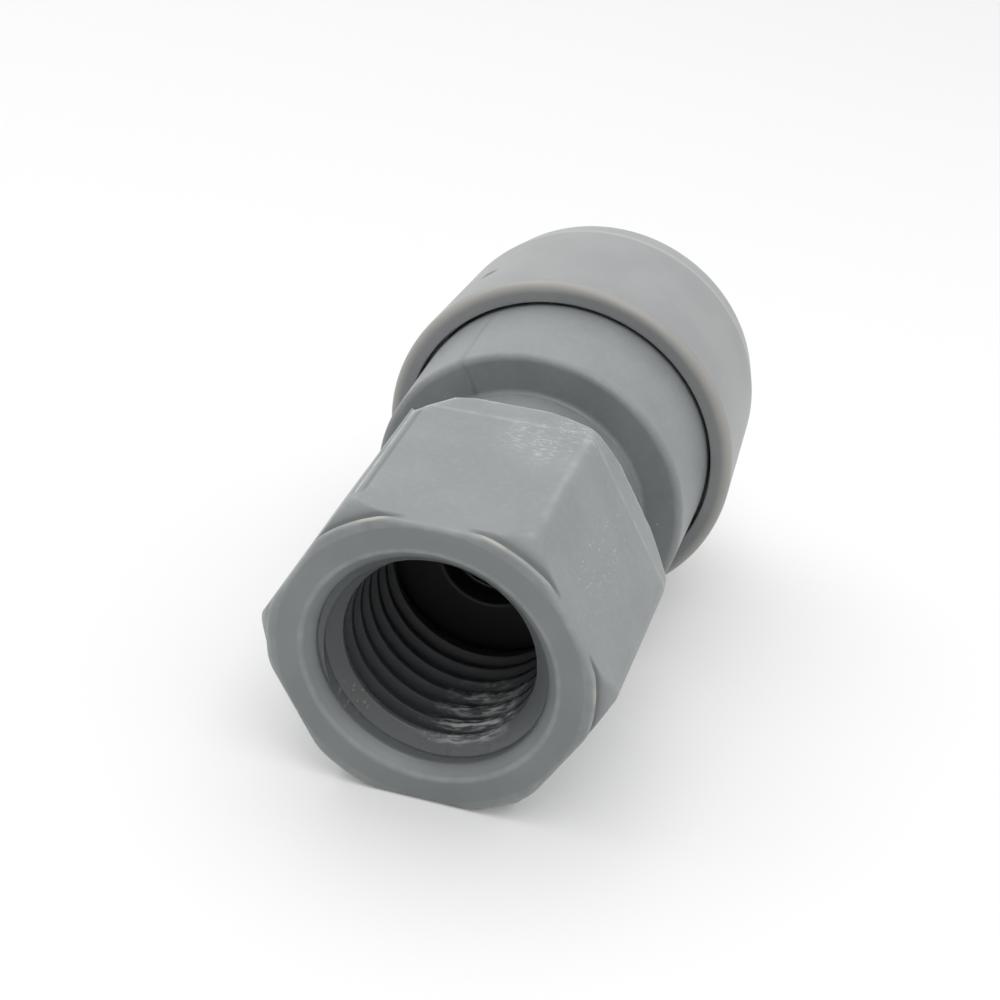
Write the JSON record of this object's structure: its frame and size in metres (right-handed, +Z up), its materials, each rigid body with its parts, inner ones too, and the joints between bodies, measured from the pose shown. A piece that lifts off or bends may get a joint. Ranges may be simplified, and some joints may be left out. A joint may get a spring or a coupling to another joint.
{
  "type": "push-fit adapter",
  "caption": "Straight push-fit adapter: a hexagonal end with a threaded port, a round barrel with a collar, and a tube socket with a sliding release collet.",
  "frame": {"origin": "middle of the floor of the box around the adapter as it rests on its side", "axes": "+X runs from the threaded nose to the tube end, +Z is up; the adapter's own axis rises 5.90 degrees from +X, because it rests on a hexagon flat's front edge and on the collar's lip"},
  "size_m": [0.0415, 0.021, 0.0217],
  "materials": {
    "grey_moulding": "satin moulded grey acetal",
    "collar_moulding": "satin moulded grey acetal",
    "collet_moulding": "satin moulded grey acetal",
    "black_rubber": "matt black rubber",
    "seal_rubber": "greased black rubber",
    "ring_plastic": "natural acetal",
    "tooth_steel": "stamped stainless steel"
  },
  "bodies": {
    "fitting": {"body": "grey_moulding", "retaining_collar": "collar_moulding", "port_washer": "black_rubber", "inner_o_ring": "seal_rubber", "outer_o_ring": "seal_rubber", "spacer_ring": "ring_plastic", "backing_ring": "ring_plastic"},
    "collet": {"release_collet": "collet_moulding", "grip_tooth_1": "tooth_steel", "grip_tooth_2": "tooth_steel", "grip_tooth_3": "tooth_steel", "grip_tooth_4": "tooth_steel", "grip_tooth_5": "tooth_steel", "grip_tooth_6": "tooth_steel"}
  },
  "joints": [
    {"name": "collet_release", "type": "slide", "parent": "fitting", "child": "collet", "axis": [-0.9947, 0, -0.1027], "range_m": [0, 0.0015]}
  ]
}
